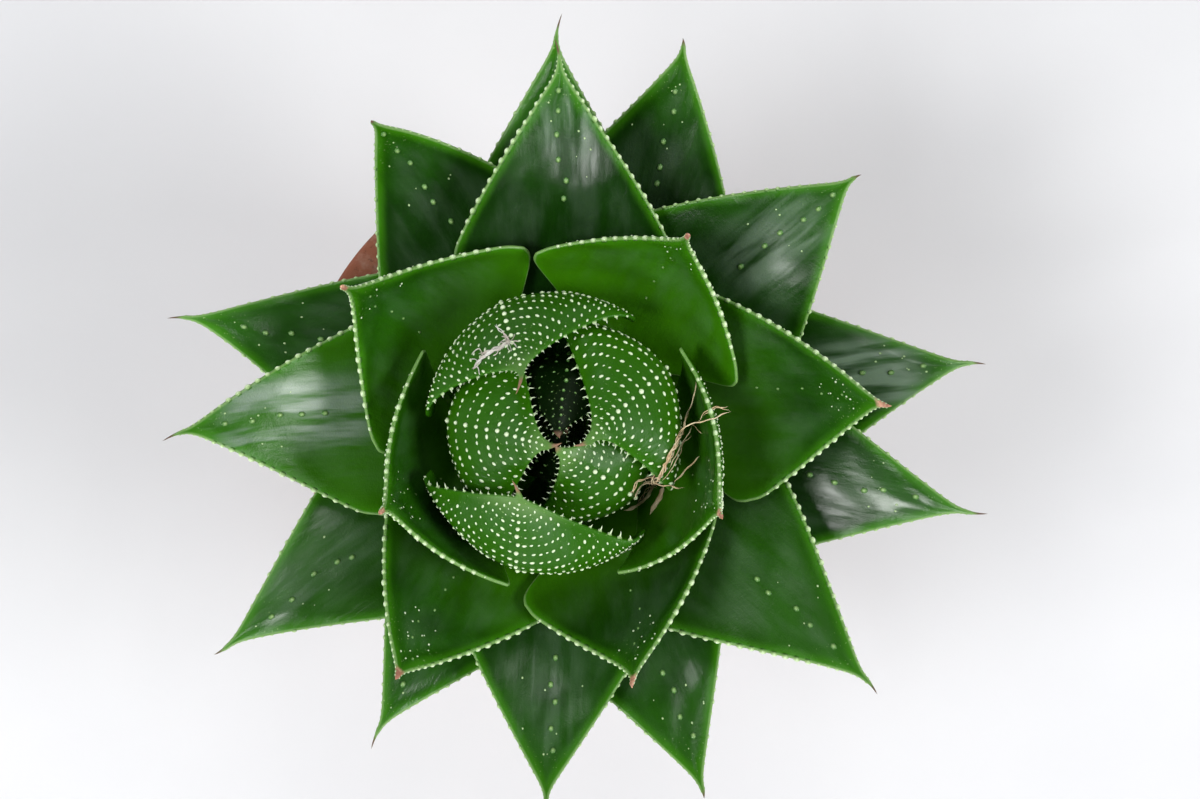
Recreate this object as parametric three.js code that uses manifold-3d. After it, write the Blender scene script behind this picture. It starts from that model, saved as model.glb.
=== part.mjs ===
// A lace aloe growing in a plain clay pot, in millimetres, +Z up.
// The origin is the centre of the pot's foot, on the surface it stands on.
//
// The plant is one rosette: a short stem standing in a hole in the soil, and fleshy leaves
// set on it in one spiral, each turned by the golden angle from the last. The oldest leaves
// spread low over the rim, the next rise round the heart, and the youngest close over it in
// a bud. Every leaf is its own solid, with a toothed margin, a soft bristle at its tip and
// rows of raised warts on its back.
import * as THREE from "three";
import { mergeVertices } from "three/addons/utils/BufferGeometryUtils.js";
import Module from "manifold-3d";

const DEGREE = Math.PI / 180;
const FIT_GAP = 0.3; // clearance wherever two separate pieces meet

// The pot: thrown clay with a thick collar at the rim and three drain holes in a flat foot.
const POT_HEIGHT = 84;
const RIM_RADIUS = 50.5;
const MOUTH_RADIUS = 43.5;
const COLLAR_HEIGHT = 20;
const COLLAR_STEP = 3.5;
const COLLAR_TAPER = 1.2;
const FOOT_RADIUS = 33;
const WALL = 5.5;
const FLOOR = 7;
const EDGE_ROUND = 1.6;
const DRAIN_RADIUS = 4;
const DRAIN_CIRCLE = 16;
const DRAIN_COUNT = 3;
const POT_SIDES = 40;

// The soil: it fills the pot to just below the rim, and has a plain hole for the stem.
const SOIL_LEVEL = 77;
const SOIL_RINGS = 6;
const CRUMB = 1.1;
const STEM_HOLE_DEPTH = 18;

// The stem. Heights on the plant are measured from the stem's collar, just over the soil.
const PLANT_X = 2.2;
const PLANT_Y = -2.7;
const PLANT_BASE = 83;
const STEM_SIDES = 20;
const STEM_FOOT_RADIUS = 8.4;
const STEM_TOP_RADIUS = 3.4;
const STEM_TOP = 25.5;

// The spiral: the first leaf is the oldest and lowest.
const GOLDEN_ANGLE = 137.508;
const FIRST_LEAF_AT = 105.3;
const LOWEST_FOOT = 3;
const HIGHEST_FOOT = 24;

// One row for each leaf, oldest first. turn is how far it strays from its place in the
// spiral, in degrees. reach and rise are its tip's distance from the stem's axis and its
// height. lean is the tip's direction, from 0 for level outwards through 90 for upright to
// 180 for level inwards. half is half the leaf's width, and taper how fast it draws in,
// from under 1 for a blunt leaf to 2 for a needle tip. swing is how far the tip bends to
// one side, and awn the length of its bristle.
const LEAVES = [
  { turn: -9, reach: 77, rise: 21, lean: 35, half: 22, taper: 1.2, swing: -7, awn: 4.5 },
  { turn: -7, reach: 70, rise: 21, lean: 20, half: 19.5, taper: 1.2, swing: 3, awn: 3.5 },
  { turn: -8, reach: 78.5, rise: 24, lean: 25, half: 21, taper: 1.2, swing: -4.5, awn: 3 },
  { turn: -3, reach: 75.5, rise: 24, lean: 24, half: 20.5, taper: 1.2, swing: 12.5, awn: 3 },
  { turn: -3, reach: 72, rise: 29.4, lean: 37, half: 20, taper: 1.2, swing: -2, awn: 1.5 },
  { turn: -6.5, reach: 72.5, rise: 37, lean: 53, half: 22.5, taper: 1.2, swing: 8.5, awn: 1.5 },
  { turn: -3, reach: 75.5, rise: 31, lean: 28, half: 20, taper: 1.2, swing: 7.5, awn: 2.5 },
  { turn: 1.5, reach: 78, rise: 32, lean: 23, half: 19.5, taper: 1.2, swing: -1.5, awn: 3.5 },
  { turn: -9.5, reach: 64, rise: 41.4, lean: 74, half: 22, taper: 1.2, swing: 7, awn: 1 },
  { turn: 3, reach: 67.5, rise: 37.3, lean: 50, half: 21, taper: 1.2, swing: 1.5, awn: 1.5 },
  { turn: 3.5, reach: 68, rise: 47, lean: 54, half: 23, taper: 1.2, swing: -3.5, awn: 2 },
  { turn: -5.5, reach: 69, rise: 46, lean: 57, half: 20.5, taper: 1.2, swing: 10.5, awn: 4 },
  { turn: 8.5, reach: 71, rise: 47, lean: 40, half: 20.5, taper: 1.2, swing: -4.5, awn: 3 },
  { turn: -1.5, reach: 67, rise: 52, lean: 50, half: 21.5, taper: 1.2, swing: -1, awn: 5 },
  { turn: -1, reach: 51, rise: 52, lean: 66, half: 20.5, taper: 1.1, swing: 6, awn: 1 },
  { turn: 8.5, reach: 55, rise: 53, lean: 60, half: 22, taper: 1.2, swing: -12, awn: 1.5 },
  { turn: -1, reach: 45, rise: 55, lean: 79, half: 25, taper: 1.9, swing: 2, awn: 1 },
  { turn: 14.5, reach: 44.4, rise: 53, lean: 68, half: 21.5, taper: 1.4, swing: -10, awn: 1.5 },
  { turn: -3, reach: 39.6, rise: 56, lean: 80, half: 24, taper: 1.9, swing: 0, awn: 1 },
  { turn: 2, reach: 34, rise: 56, lean: 79, half: 26, taper: 1.9, swing: 2.5, awn: 1 },
  { turn: 9, reach: 30, rise: 56, lean: 75, half: 25, taper: 1.5, swing: -7, awn: 1 },
  { turn: 2, reach: 9, rise: 54, lean: 134, half: 25.5, taper: 1, swing: 2.7, awn: 5 },
  { turn: 4, reach: 10.4, rise: 53, lean: 142, half: 25, taper: 0.6, swing: -4.8, awn: 3.5 },
  { turn: 5.5, reach: 0, rise: 51.5, lean: 138, half: 22.5, taper: 1.5, swing: -4.5, awn: 3.5 },
  { turn: 8, reach: 0, rise: 50.5, lean: 144, half: 22, taper: 1.2, swing: 3.3, awn: 3 },
  { turn: 15, reach: 0.5, rise: 47.5, lean: 142, half: 19, taper: 1.2, swing: -3.4, awn: 1.5 },
  { turn: 5, reach: -1.5, rise: 46, lean: 150, half: 12.5, taper: 1.1, swing: 1, awn: 1 },
  { turn: 10, reach: -1, rise: 43, lean: 150, half: 10, taper: 1.1, swing: 0, awn: 1 },
];
const LAST = LEAVES.length - 1;
const FIRST_UPRIGHT = 13; // from here on the leaves stand up more and more
const FIRST_BUD = 21; // from here on they close over the heart

// The leaf's cross-section runs from one margin over the upper face to the other margin and
// back under the keel. Numbers are shares of the half width.
const UPPER_FACE = [0.55, 0, -0.55];
const LOWER_FACE = [-0.76, -0.4, 0, 0.4, 0.76];
const SHARES = [1, ...UPPER_FACE, -1, ...LOWER_FACE];
const RINGS = 27;
const LAST_RING_AT = 0.985; // the tip is a single point beyond it
const FOOT_SHARE = 0.6; // the foot's width, as a share of the stem's
const FOOT_DROP = 1.6; // how far its underside hangs below the midrib
const NECK = 0.12; // how far up the leaf it stays as narrow as its foot
const SIDE_BOW = 1.2; // 1 for straight sides, more for bowed ones
const AWN_HALF = 0.45;
const TOOTH = 1.1; // how far it stands out, as for the warts
const WART = 0.45;
const TOOTHED_FROM = 0.3; // shares of the leaf's length
const TOOTHED_TO = 0.94;
const THINNEST = 0.8;
const FOOT_THICKNESS = 0.28; // as a share of the fullest
const EDGE_LIFT = 0.24; // how far each face stands off the plane of the margins at its edge
const FLATTER_SHARE = 0.25; // the upper face's share of the thickness
const CLASP = 0.22; // how far up the leaf its foot hugs the stem
const TIGHTEST_WRAP = 12; // the smallest radius a leaf is rolled to
const SQUARING = 0.3; // the share of a bud leaf in which its sections turn square to the midrib

const between = (a, b, t) => a + (b - a) * Math.min(Math.max(t, 0), 1);

function smooth(t) {
  const s = Math.min(Math.max(t, 0), 1);
  return s * s * (3 - 2 * s);
}

function stemRadiusAt(height) {
  return between(STEM_FOOT_RADIUS, STEM_TOP_RADIUS, smooth(height / STEM_TOP));
}

// How the leaves change from the oldest to the youngest. foot is the midrib's direction at
// the stem, out and back the handles of its curve, widest where along it the leaf is widest,
// wrap how closely the leaf is rolled round the stem's axis, level how far up it its sections
// lie level before they turn square to the midrib, and thick its thickness.
function habitOf(index, chord) {
  const rising = (index - FIRST_UPRIGHT) / (FIRST_BUD - 1 - FIRST_UPRIGHT);
  if (index < FIRST_BUD) {
    return {
      foot: between(6, 12, index / 9) - between(0, 4, rising),
      out: chord * between(0.42, 0.6, rising),
      back: chord * 0.42,
      widest: between(0.36, 0.46, rising),
      wrap: 1,
      level: -1,
      thick: between(5.2, 3.2, rising),
    };
  }
  const depth = index - FIRST_BUD;
  return {
    foot: between(16, 42, depth / 6),
    out: between(30, 9, (depth - 3) / 3),
    back: between(22, 14, (depth - 3) / 3),
    widest: 0.55,
    wrap: between(1, 1.25, depth / 4),
    level: 0.52,
    thick: 2.2,
  };
}

// Half the leaf's width at a share of its length: a clasping foot, then the widest part,
// then long sides that draw in to the awn.
function halfWidthAt(leaf, widest, midrib, v) {
  const bladeEnd = 1 - leaf.awn / midrib.getLength();
  const foot = midrib.v0.x * FOOT_SHARE;
  if (v < widest) return between(foot, leaf.half, smooth((v - NECK) / (widest - NECK)));
  const q = Math.min((v - widest) / (bladeEnd - widest), 1);
  return Math.max(leaf.half * Math.pow(1 - Math.pow(q, SIDE_BOW), leaf.taper), AWN_HALF);
}

// Thickness at a share of the length: thin where leaves press together at the stem, fullest
// past the middle, thin again at the tip.
function thickShare(v) {
  const swelling = between(FOOT_THICKNESS, 1, smooth((v - NECK) / 0.4));
  return swelling * (1 - 0.85 * smooth((v - 0.5) / 0.5));
}

// The midrib of one leaf, in a plane through the stem's axis: x outwards, y up.
function midribOf(leaf, habit, foot, tip) {
  const start = habit.foot * DEGREE;
  const end = leaf.lean * DEGREE;
  return new THREE.CubicBezierCurve(
    foot,
    new THREE.Vector2(foot.x + habit.out * Math.cos(start), foot.y + habit.out * Math.sin(start)),
    new THREE.Vector2(tip.x - habit.back * Math.cos(end), tip.y - habit.back * Math.sin(end)),
    tip,
  );
}

// One point of a leaf, before it is turned to its place: x outwards, y sideways, z up.
// across runs from 1 at one margin to -1 at the other, lift is along the leaf's normal, and
// spread widens the leaf.
function leafPoint(leaf, habit, midrib, v, across, lift, spread) {
  const at = midrib.getPointAt(v);
  const along = midrib.getTangentAt(v);
  const half = halfWidthAt(leaf, habit.widest, midrib, v) + spread;
  const rolled = (habit.wrap * Math.max(along.y, 0)) / Math.max(at.x, 1);
  const curve = Math.min(Math.max(rolled, 1e-6), 1 / TIGHTEST_WRAP);
  const angle = across * half * curve;
  const inwards = (1 - Math.cos(angle)) / curve;
  const tilted = smooth((v - habit.level) / SQUARING);
  const normalUp = lift * Math.cos(angle);
  const y = Math.sin(angle) / curve - lift * Math.sin(angle);
  const hug = Math.pow(Math.max(1 - v / CLASP, 0), 2);
  const round = Math.sqrt(Math.max(at.x * at.x - y * y, 0)) - at.x;
  return new THREE.Vector3(
    at.x - along.y * (inwards + normalUp) + hug * round,
    y + leaf.swing * v * v,
    at.y + along.x * (tilted * inwards + normalUp),
  );
}

// The points of one ring round the leaf. Every other ring carries a tooth on each margin,
// and the warts stand on the back in staggered rows.
function leafRing(leaf, habit, midrib, ring) {
  const v = (ring / RINGS) * LAST_RING_AT;
  const rough = v > TOOTHED_FROM && v < TOOTHED_TO;
  const thick = Math.max(habit.thick * thickShare(v), THINNEST);
  return SHARES.map((across, column) => {
    if (Math.abs(across) === 1) {
      const tooth = rough && ring % 2 ? TOOTH : 0;
      return leafPoint(leaf, habit, midrib, v, across, 0, tooth);
    }
    if (column <= UPPER_FACE.length) {
      const lift = EDGE_LIFT + thick * FLATTER_SHARE * (1 - across * across);
      return leafPoint(leaf, habit, midrib, v, across, lift, 0);
    }
    const wart = rough && (ring + column) % 2 ? WART : 0;
    const depth = EDGE_LIFT + thick * (1 - FLATTER_SHARE) * Math.pow(1 - Math.abs(across), 0.7);
    return leafPoint(leaf, habit, midrib, v, across, -depth - wart, 0);
  });
}

function surfaceOf(points, faces) {
  const geometry = new THREE.BufferGeometry();
  const positions = points.flatMap((point) => point.toArray());
  geometry.setAttribute("position", new THREE.Float32BufferAttribute(positions, 3));
  geometry.setIndex(faces);
  return geometry;
}

function leafGeometry(leaf, index) {
  const footHeight = between(LOWEST_FOOT, HIGHEST_FOOT, index / LAST);
  const clearance = between(FIT_GAP, 2 * FIT_GAP, index / LAST);
  const foot = new THREE.Vector2(stemRadiusAt(footHeight - FOOT_DROP) + clearance, footHeight);
  const tip = new THREE.Vector2(leaf.reach, leaf.rise);
  const habit = habitOf(index, foot.distanceTo(tip));
  const midrib = midribOf(leaf, habit, foot, tip);
  const size = SHARES.length;
  const points = [];
  const faces = [];
  for (let ring = 0; ring < RINGS; ring++) {
    points.push(...leafRing(leaf, habit, midrib, ring));
    if (ring === 0) continue;
    for (let i = 0; i < size; i++) {
      const a = (ring - 1) * size + i;
      const b = (ring - 1) * size + ((i + 1) % size);
      faces.push(a, b, b + size, a, b + size, a + size);
    }
  }
  const lastRing = (RINGS - 1) * size;
  points.push(leafPoint(leaf, habit, midrib, 1, 0, 0, 0));
  for (let i = 0; i < size; i++) {
    faces.push(lastRing + i, lastRing + ((i + 1) % size), RINGS * size);
  }
  // The foot is closed by a strip between the two faces, from one margin to the other.
  let upper = 0;
  let lower = size - 1;
  while (lower - upper > 1) {
    if (SHARES[upper + 1] > SHARES[lower - 1]) {
      faces.push(upper + 1, upper, lower);
      upper += 1;
    } else {
      faces.push(upper, lower, lower - 1);
      lower -= 1;
    }
  }
  return surfaceOf(points, faces);
}

// A turned solid, one closed body whose shared points are merged. The profile is a list of
// [radius, height] that starts and ends on the axis.
function turned(profile, sides) {
  const outline = profile.map(([radius, height]) => new THREE.Vector2(radius, height));
  const lathe = new THREE.LatheGeometry(outline, sides);
  lathe.rotateX(Math.PI / 2);
  lathe.deleteAttribute("normal");
  lathe.deleteAttribute("uv");
  return mergeVertices(lathe);
}

const outerRadiusAt = (z) => between(FOOT_RADIUS, RIM_RADIUS - COLLAR_STEP, z / POT_HEIGHT);
const innerRadiusAt = (z) => between(FOOT_RADIUS - WALL, MOUTH_RADIUS, z / POT_HEIGHT);

function potProfile() {
  const collar = POT_HEIGHT - COLLAR_HEIGHT;
  const collarRadius = RIM_RADIUS - COLLAR_TAPER;
  const soft = EDGE_ROUND * 0.3;
  return [
    [0, 0],
    [FOOT_RADIUS - EDGE_ROUND, 0],
    [outerRadiusAt(EDGE_ROUND), EDGE_ROUND],
    [outerRadiusAt(collar), collar],
    [collarRadius - EDGE_ROUND / 2, collar],
    [collarRadius, collar + EDGE_ROUND / 2],
    [RIM_RADIUS, POT_HEIGHT - EDGE_ROUND],
    [RIM_RADIUS - soft, POT_HEIGHT - soft],
    [RIM_RADIUS - EDGE_ROUND, POT_HEIGHT],
    [MOUTH_RADIUS + EDGE_ROUND, POT_HEIGHT],
    [MOUTH_RADIUS + soft, POT_HEIGHT - soft],
    [innerRadiusAt(POT_HEIGHT - EDGE_ROUND), POT_HEIGHT - EDGE_ROUND],
    [innerRadiusAt(FLOOR), FLOOR],
    [0, FLOOR],
  ];
}

function soilProfile() {
  const bottom = FLOOR + FIT_GAP;
  const edge = innerRadiusAt(SOIL_LEVEL) - FIT_GAP;
  const top = [];
  for (let ring = 0; ring < SOIL_RINGS; ring++) {
    top.push([between(edge, 0, ring / SOIL_RINGS), SOIL_LEVEL]);
  }
  return [[0, bottom], [innerRadiusAt(bottom) - FIT_GAP, bottom], ...top, [0, SOIL_LEVEL]];
}

// Low mounds and hollows over the top of the soil, which fade out at the wall of the pot.
function roughen(geometry) {
  const places = geometry.getAttribute("position");
  for (let i = 0; i < places.count; i++) {
    const x = places.getX(i);
    const y = places.getY(i);
    const z = places.getZ(i);
    if (z < SOIL_LEVEL - 0.01) continue;
    const level = 1 - Math.pow(Math.hypot(x, y) / innerRadiusAt(SOIL_LEVEL), 6);
    const mound = Math.sin(x * 0.31 + 1.7 * Math.cos(y * 0.23)) * Math.cos(y * 0.27 + 0.6);
    places.setZ(i, z + level * CRUMB * mound);
  }
  return geometry;
}

function stemProfile() {
  const steps = 6;
  const bottom = SOIL_LEVEL - STEM_HOLE_DEPTH + FIT_GAP;
  const sides = [];
  for (let step = 0; step <= steps; step++) {
    const height = (STEM_TOP * step) / steps;
    sides.push([stemRadiusAt(height), PLANT_BASE + height]);
  }
  return [[0, bottom], [STEM_FOOT_RADIUS, bottom], ...sides, [0, PLANT_BASE + STEM_TOP + 0.6]];
}

const solids = await Module();
solids.setup();

// Drills a turned piece: each hole is a cylinder with its place, foot, radius and height.
function drilled(geometry, holes) {
  let solid = new solids.Manifold(
    new solids.Mesh({
      numProp: 3,
      vertProperties: geometry.getAttribute("position").array,
      triVerts: new Uint32Array(geometry.index.array),
    }),
  );
  for (const { x, y, foot, radius, height, sides } of holes) {
    const drill = solids.Manifold.cylinder(height, radius, radius, sides);
    solid = solid.subtract(drill.translate([x, y, foot]));
  }
  const { vertProperties, triVerts } = solid.getMesh();
  const result = new THREE.BufferGeometry();
  result.setAttribute("position", new THREE.BufferAttribute(vertProperties, 3));
  result.setIndex(Array.from(triVerts));
  return result;
}

function drainHoles() {
  return Array.from({ length: DRAIN_COUNT }, (_, i) => {
    const angle = (i / DRAIN_COUNT) * 2 * Math.PI + Math.PI / 6;
    const x = DRAIN_CIRCLE * Math.cos(angle);
    const y = DRAIN_CIRCLE * Math.sin(angle);
    return { x, y, foot: -1, radius: DRAIN_RADIUS, height: FLOOR + 2, sides: 12 };
  });
}

const clay = new THREE.MeshStandardMaterial({ color: 0xb5673f, roughness: 0.9 });
const soilMix = new THREE.MeshStandardMaterial({ color: 0x35261c, roughness: 1 });
const stemSkin = new THREE.MeshStandardMaterial({ color: 0x8d9a5c, roughness: 0.7 });
const leafSkin = new THREE.MeshStandardMaterial({ color: 0x2c5e1e, roughness: 0.4 });

function piece(name, geometry, material) {
  const mesh = new THREE.Mesh(geometry, material);
  mesh.name = name;
  return mesh;
}

function makePart() {
  const part = new THREE.Group();
  part.add(piece("pot", drilled(turned(potProfile(), POT_SIDES), drainHoles()), clay));

  const stemHole = {
    x: PLANT_X,
    y: PLANT_Y,
    foot: SOIL_LEVEL - STEM_HOLE_DEPTH,
    radius: STEM_FOOT_RADIUS + FIT_GAP,
    height: STEM_HOLE_DEPTH + 10,
    sides: STEM_SIDES,
  };
  const soil = roughen(turned(soilProfile(), POT_SIDES));
  part.add(piece("soil", drilled(soil, [stemHole]), soilMix));

  const stem = piece("stem", turned(stemProfile(), STEM_SIDES), stemSkin);
  stem.position.set(PLANT_X, PLANT_Y, 0);
  part.add(stem);

  const rosette = new THREE.Group();
  rosette.position.set(PLANT_X, PLANT_Y, PLANT_BASE);
  part.add(rosette);
  LEAVES.forEach((leaf, index) => {
    const name = `leaf_${String(index + 1).padStart(2, "0")}`;
    const blade = piece(name, leafGeometry(leaf, index), leafSkin);
    blade.rotation.z = (FIRST_LEAF_AT + GOLDEN_ANGLE * index + leaf.turn) * DEGREE;
    rosette.add(blade);
  });
  return part;
}

export default makePart();
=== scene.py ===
import math

import bpy
import numpy as np
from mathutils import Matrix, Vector, noise
from mathutils.bvhtree import BVHTree


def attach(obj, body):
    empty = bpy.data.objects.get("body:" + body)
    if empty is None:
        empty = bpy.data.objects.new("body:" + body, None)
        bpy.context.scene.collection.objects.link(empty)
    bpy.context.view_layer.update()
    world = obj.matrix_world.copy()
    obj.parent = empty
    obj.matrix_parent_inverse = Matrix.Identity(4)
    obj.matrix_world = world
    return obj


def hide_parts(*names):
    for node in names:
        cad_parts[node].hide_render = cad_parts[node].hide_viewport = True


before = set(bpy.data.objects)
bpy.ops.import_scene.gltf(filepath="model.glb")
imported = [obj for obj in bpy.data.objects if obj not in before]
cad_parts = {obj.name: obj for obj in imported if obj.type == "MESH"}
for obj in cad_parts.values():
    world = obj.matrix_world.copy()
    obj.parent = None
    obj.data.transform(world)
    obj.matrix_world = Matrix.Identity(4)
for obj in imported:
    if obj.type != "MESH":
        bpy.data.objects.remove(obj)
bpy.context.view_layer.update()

# The table it stands on: a pale painted board, matt, a little uneven in tone. It carries the
# pot's foot at height nought and curves up all round, far from the plant, as a studio table does.
MM = 0.001
TABLE_FLAT = 1100
TABLE_SWEEP = 500
TABLE_TOP = 950
TABLE_SIDES = 96
TABLE_PAINT = (0.77, 0.775, 0.79, 1)
TABLE_PAINT_WORN = (0.73, 0.735, 0.755, 1)


class Signal:
    """A value that varies over a surface, so that a finish is written as sums and products."""

    def __init__(self, tree, socket=None):
        self.tree = tree
        self.socket = socket

    def node(self, kind, settings, sockets, output=0):
        """Adds one node: its settings first, then the values or links of its sockets."""
        made = self.tree.nodes.new("ShaderNode" + kind)
        for name, setting in settings.items():
            setattr(made, name, setting)
        for name, value in sockets.items():
            if isinstance(value, Signal):
                self.tree.links.new(value.socket, made.inputs[name])
            else:
                made.inputs[name].default_value = value
        return Signal(self.tree, made.outputs[output] if len(made.outputs) else None)

    def maths(self, operation, *values):
        return self.node("Math", {"operation": operation}, dict(enumerate(values)))

    def __add__(self, other):
        return self.maths("ADD", self, other)

    def __sub__(self, other):
        return self.maths("SUBTRACT", self, other)

    def __rsub__(self, other):
        return self.maths("SUBTRACT", other, self)

    def __mul__(self, other):
        return self.maths("MULTIPLY", self, other)

    __radd__ = __add__
    __rmul__ = __mul__

    def rise(self, low, high):
        """0 below low and 1 above high, with a soft step between them."""
        step = {"Value": self, "From Min": low, "From Max": high}
        return self.node("MapRange", {"interpolation_type": "SMOOTHSTEP"}, step)

    def between(self, first, second):
        """The first colour where this is 0, the second where it is 1."""
        return self.node("Mix", {"data_type": "RGBA"}, {0: self, 6: first, 7: second}, 2)

    def grain(self, size, detail=3.0, rough=0.55, warp=0.0):
        """Noise with patches of about that size, read at this place, which is in millimetres."""
        look = {"Vector": self, "Scale": 1 / size, "Detail": detail}
        return self.node("TexNoise", {}, {**look, "Roughness": rough, "Distortion": warp})

    def stretched(self, x, y, z):
        return self.node("VectorMath", {"operation": "MULTIPLY"}, {0: self, 1: (x, y, z)})

    def axis(self, index):
        return self.node("SeparateXYZ", {}, {0: self}, index)


def new_finish(name):
    """A bare material, and the place on the surface in millimetres."""
    material = bpy.data.materials.new(name)
    material.use_nodes = True
    material.node_tree.nodes.clear()
    place = Signal(material.node_tree).node("TexCoord", {}, {}, 3)
    return material, place.stretched(1 / MM, 1 / MM, 1 / MM)


def finished(place, relief, height, **look):
    """Joins a finish: relief is a signal of height, in steps of that many millimetres."""
    sockets = {name.replace("_", " "): value for name, value in look.items()}
    bump = {"Strength": 1.0, "Distance": height * MM, "Height": relief}
    sockets["Normal"] = place.node("Bump", {}, bump)
    shader = place.node("BsdfPrincipled", {}, sockets)
    place.node("OutputMaterial", {}, {"Surface": shader})


def mesh_piece(name, points, faces, materials):
    """A smooth mesh from points in millimetres."""
    mesh = bpy.data.meshes.new(name)
    mesh.from_pydata((np.asarray(points) * MM).tolist(), [], faces)
    for material in materials:
        mesh.materials.append(material)
    mesh.polygons.foreach_set("use_smooth", np.ones(len(mesh.polygons), bool))
    obj = bpy.data.objects.new(name, mesh)
    bpy.context.scene.collection.objects.link(obj)
    return obj


table_paint, at = new_finish("table_paint")
patches = at.grain(180, 4).rise(0.3, 0.7)
finished(
    at,
    at.grain(1.6, 2),
    0.02,
    Base_Color=patches.between(TABLE_PAINT, TABLE_PAINT_WORN),
    Roughness=0.62 + 0.1 * patches,
)
sweep = [(0.5 * TABLE_FLAT, 0), (TABLE_FLAT, 0)]
for angle in np.radians(np.arange(10, 91, 10)):
    sweep.append((TABLE_FLAT + TABLE_SWEEP * math.sin(angle), TABLE_SWEEP * (1 - math.cos(angle))))
sweep.append((TABLE_FLAT + TABLE_SWEEP, TABLE_TOP))
around = np.arange(TABLE_SIDES) * 2 * math.pi / TABLE_SIDES
table_points = [(0, 0, 0)]
for radius, height in sweep:
    table_points += [(radius * math.cos(a), radius * math.sin(a), height) for a in around]
table_faces = [(0, 1 + i, 1 + (i + 1) % TABLE_SIDES) for i in range(TABLE_SIDES)]
for row in range(1, 1 + (len(sweep) - 1) * TABLE_SIDES, TABLE_SIDES):
    for i in range(TABLE_SIDES):
        j = (i + 1) % TABLE_SIDES
        table_faces.append((row + i, row + TABLE_SIDES + i, row + TABLE_SIDES + j, row + j))
table = mesh_piece("table", table_points, table_faces, [table_paint])

# The light and the camera: a dim white room with five broad soft lamps, two of them low at the
# front, and the camera straight above the plant, looking down. Image up is +Y, right is +X.
CAMERA_PLACE = (8.49, 2.655, 477)
CAMERA_LENS = 60
ROOM_LIGHT = 0.08
LIGHT_CENTRE = (0, 0, 110)
LAMPS = {  # azimuth from +X and elevation in degrees, distance, width and height in mm, watts
    "right": (-12, 41, 1200, 560, 420, 9.2),
    "back": (80, 58, 1200, 560, 420, 2.6),
    "left": (195, 56, 1200, 420, 420, 8.2),
    "near_left": (226, 30, 1450, 420, 400, 3.6),
    "near": (274, 22, 1450, 310, 420, 3.9),
}

camera_data = bpy.data.cameras.new("camera")
camera_data.lens = CAMERA_LENS
camera_data.sensor_width = 36
camera_data.clip_start = 0.01
camera = bpy.data.objects.new("camera", camera_data)
camera.location = Vector(CAMERA_PLACE) * MM
bpy.context.scene.collection.objects.link(camera)
bpy.context.scene.camera = camera

for lamp_name, (azimuth, elevation, distance, width, height, watts) in LAMPS.items():
    lamp_data = bpy.data.lights.new("lamp_" + lamp_name, "AREA")
    lamp_data.shape = "RECTANGLE"
    lamp_data.size = width * MM
    lamp_data.size_y = height * MM
    lamp_data.energy = watts
    lamp = bpy.data.objects.new("lamp_" + lamp_name, lamp_data)
    lamp.visible_camera = False
    around, above = math.radians(azimuth), math.radians(elevation)
    reach = distance * math.cos(above)
    offset = Vector((reach * math.cos(around), reach * math.sin(around), distance * math.sin(above)))
    lamp.location = (Vector(LIGHT_CENTRE) + offset) * MM
    lamp.rotation_euler = (-offset).to_track_quat("-Z", "Y").to_euler()
    bpy.context.scene.collection.objects.link(lamp)

room = bpy.data.worlds.new("room")
room.use_nodes = True
room.node_tree.nodes["Background"].inputs["Color"].default_value = (0.97, 0.98, 1, 1)
room.node_tree.nodes["Background"].inputs["Strength"].default_value = ROOM_LIGHT
bpy.context.scene.world = room
bpy.context.scene.view_settings.view_transform = "Standard"

# The pot: thrown red clay, fired without a glaze, with a thick collar at the rim and three
# drain holes in its flat foot. Turning leaves fine rings, and water leaves a bloom of lime.
POT_HEIGHT = 84
RIM_RADIUS = 50.5
MOUTH_RADIUS = 43.5
COLLAR_HEIGHT = 20
COLLAR_STEP = 3.5
COLLAR_TAPER = 1.2
FOOT_RADIUS = 33
WALL = 5.5
FLOOR = 7
EDGE_ROUND = 1.6
FLOOR_FILLET = 4
DRAIN_RADIUS = 4
DRAIN_CIRCLE = 16
DRAIN_COUNT = 3
POT_SIDES = 160
TURNING_STEP = 1.5
TURNING_DEPTH = 0.1
CLAY_RED = (0.25, 0.078, 0.043, 1)
CLAY_PALE = (0.36, 0.145, 0.082, 1)
CLAY_DAMP = (0.13, 0.045, 0.027, 1)
LIME = (0.52, 0.42, 0.35, 1)


def between(a, b, t):
    return a + (b - a) * np.clip(t, 0, 1)


def outer_radius(z):
    return between(FOOT_RADIUS, RIM_RADIUS - COLLAR_STEP, z / POT_HEIGHT)


def inner_radius(z):
    return between(FOOT_RADIUS - WALL, MOUTH_RADIUS, z / POT_HEIGHT)


def arc(radius, height, size, start, end, steps=7):
    """Points of a round edge, from one angle in degrees to another, centred at radius and height."""
    angles = np.radians(np.linspace(start, end, steps))
    return [(radius + size * math.cos(a), height + size * math.sin(a)) for a in angles]


def wall(radius_at, start, end):
    """Points up or down a wall, with the shallow rings that turning leaves."""
    heights = np.linspace(start, end, max(2, round(abs(end - start) / TURNING_STEP)))
    rings = TURNING_DEPTH * (np.sin(heights * 1.9) + 0.6 * np.sin(heights * 3.1 + 1)) - TURNING_DEPTH
    return list(zip(radius_at(heights) + rings, heights))


def ring_faces(count, sides, inside_out=False):
    """Faces over rings of points with one point before them and one after, that many in all."""
    faces = []
    last = count - 1
    for i in range(sides):
        j = (i + 1) % sides
        if inside_out:
            i, j = j, i
        faces.append((0, 1 + j, 1 + i))
        for row in range(1, last - sides, sides):
            faces.append((row + i, row + j, row + sides + j, row + sides + i))
        faces.append((last - sides + i, last - sides + j, last))
    return faces


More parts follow.
